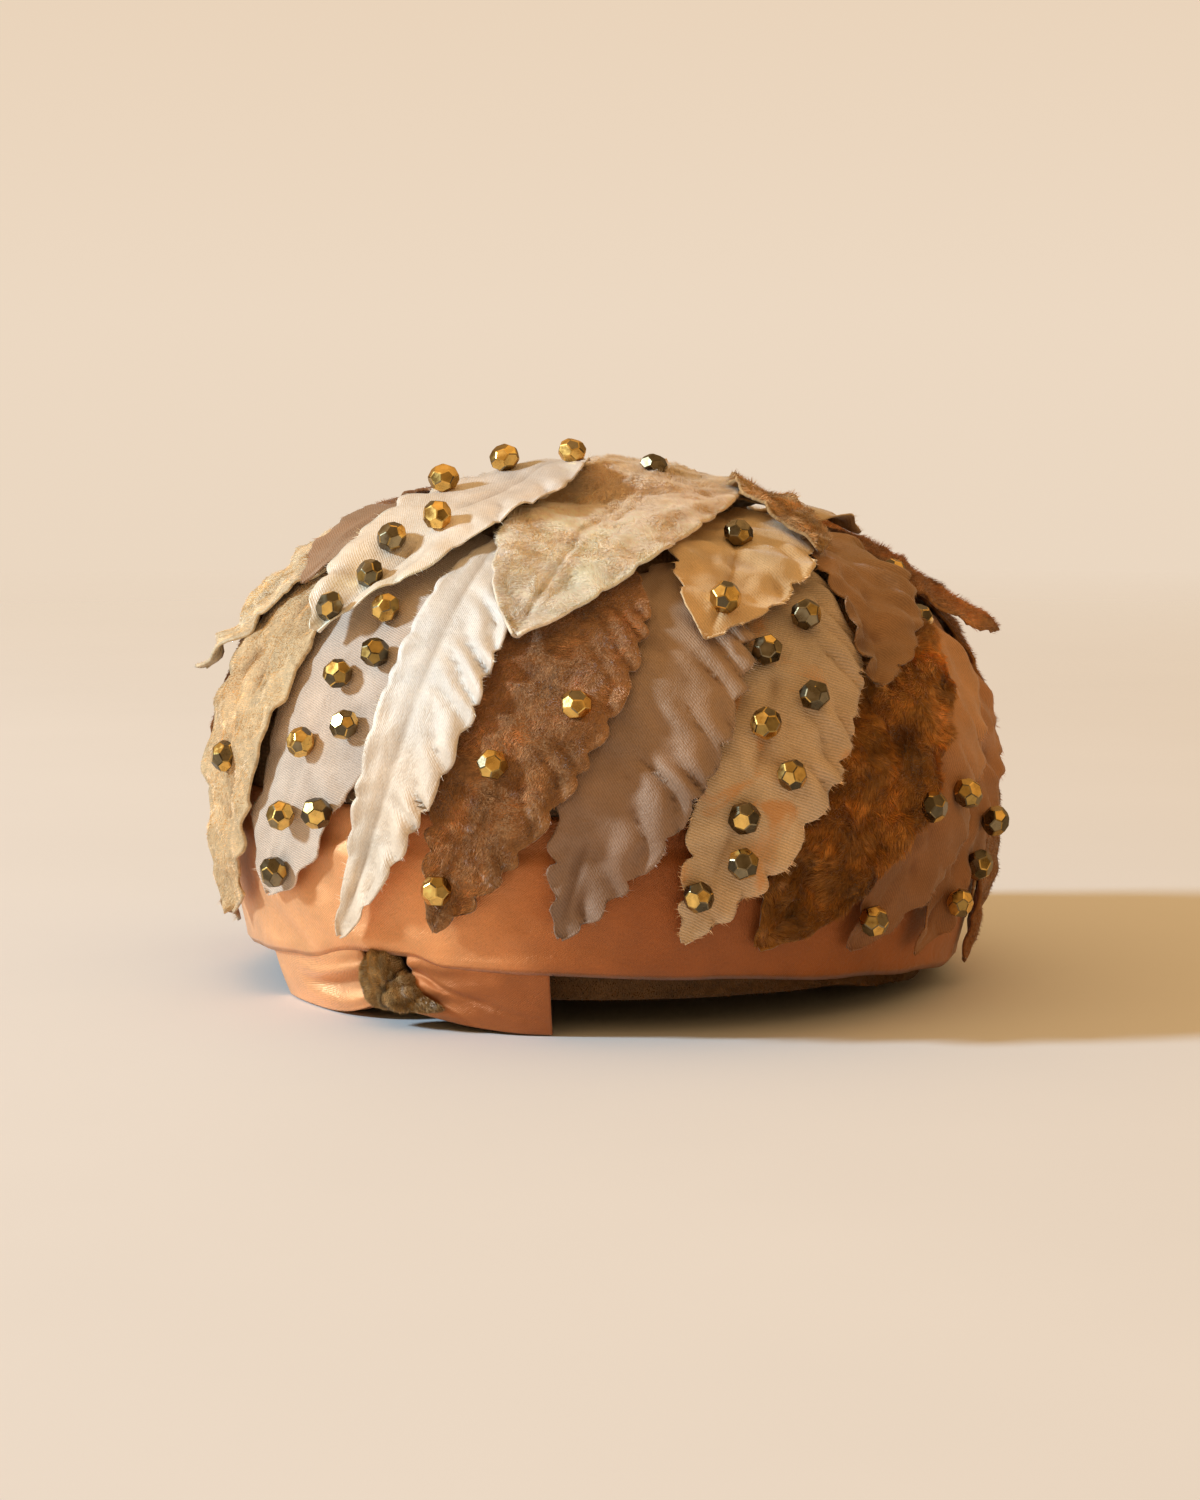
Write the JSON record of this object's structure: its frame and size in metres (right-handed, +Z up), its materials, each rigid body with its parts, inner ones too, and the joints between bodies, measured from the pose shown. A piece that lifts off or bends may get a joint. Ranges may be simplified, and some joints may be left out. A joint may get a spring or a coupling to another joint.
{
  "type": "leaf-covered pillbox hat",
  "caption": "Domed pillbox hat covered in overlapping satin and velvet leaves with faceted beads sewn on, over a satin band with a flat bow and a velvet knot, open below for the head.",
  "frame": {"origin": "on the surface that the hat rests on, under the middle of its bounding box", "axes": "+Z up through the top of the crown; -Y to the front, where the bow sits a little to the left; +X to the viewer's right"},
  "size_m": [0.2306, 0.239, 0.1577],
  "materials": {
    "crown_cloth": "stiffened millinery cloth, matt",
    "satin_copper": "apricot-copper satin, soft sheen",
    "velvet_olive": "olive-brown short velvet, matt",
    "satin_ivory": "ivory satin, soft sheen",
    "satin_mauve": "mauve-taupe twill satin, soft sheen",
    "satin_ochre": "ochre-beige satin, low sheen",
    "taffeta_pink": "pinkish grey ribbed taffeta, low sheen",
    "ribbed_khaki": "khaki-beige ribbed cloth, matt",
    "velvet_cream": "cream long-pile velvet",
    "velvet_tan": "tan crushed velvet",
    "velvet_brown": "brown crushed velvet",
    "velvet_amber": "amber-brown long-pile velvet",
    "bead_gold": "gold-coloured, worn",
    "bead_pewter": "dark pewter with gold glints, worn"
  },
  "bodies": {
    "root": {"crown": "crown_cloth", "satin_band": "satin_copper", "velvet_underband": "velvet_olive", "bow_loop": "satin_copper", "bow_flap": "satin_copper", "bow_knot": "velvet_olive", "lower_leaf_10": "velvet_brown", "lower_leaf_09": "satin_mauve", "lower_leaf_08": "satin_mauve", "lower_leaf_07": "velvet_amber", "lower_leaf_06": "ribbed_khaki", "lower_leaf_05": "satin_mauve", "lower_leaf_04": "velvet_brown", "lower_leaf_02": "taffeta_pink", "lower_leaf_03": "satin_ivory", "lower_leaf_01": "velvet_tan", "upper_leaf_14": "velvet_tan", "upper_leaf_13": "satin_ochre", "upper_leaf_12": "velvet_brown", "upper_leaf_11": "taffeta_pink", "upper_leaf_10": "velvet_cream", "upper_leaf_09": "velvet_tan", "upper_leaf_08": "velvet_brown", "upper_leaf_07": "satin_mauve", "upper_leaf_06": "satin_ochre", "upper_leaf_01": "velvet_tan", "upper_leaf_02": "satin_mauve", "top_leaf_1": "velvet_brown", "top_leaf_2": "satin_ochre", "top_leaf_3": "satin_ochre", "upper_leaf_05": "velvet_cream", "upper_leaf_04": "velvet_amber", "upper_leaf_03": "satin_mauve", "lower_leaf_11": "velvet_tan", "lower_leaf_12": "taffeta_pink", "lower_leaf_13": "velvet_brown", "lower_leaf_14": "satin_ochre", "lower_leaf_15": "satin_mauve", "lower_leaf_16": "velvet_tan", "lower_leaf_17": "taffeta_pink", "lower_leaf_18": "velvet_brown", "lower_leaf_19": "satin_ochre", "taffeta_bead_1": "bead_gold", "taffeta_bead_2": "bead_pewter", "taffeta_bead_3": "bead_gold", "taffeta_bead_4": "bead_pewter", "taffeta_bead_5": "bead_gold", "taffeta_bead_6": "bead_pewter", "taffeta_bead_7": "bead_gold", "taffeta_bead_8": "bead_pewter", "taffeta_bead_9": "bead_pewter", "ribbed_bead_1": "bead_pewter", "ribbed_bead_2": "bead_pewter", "ribbed_bead_3": "bead_pewter", "ribbed_bead_4": "bead_gold", "ribbed_bead_5": "bead_pewter", "ribbed_bead_6": "bead_pewter", "ribbed_bead_7": "bead_pewter", "ribbed_bead_8": "bead_gold"}
  },
  "joints": []
}
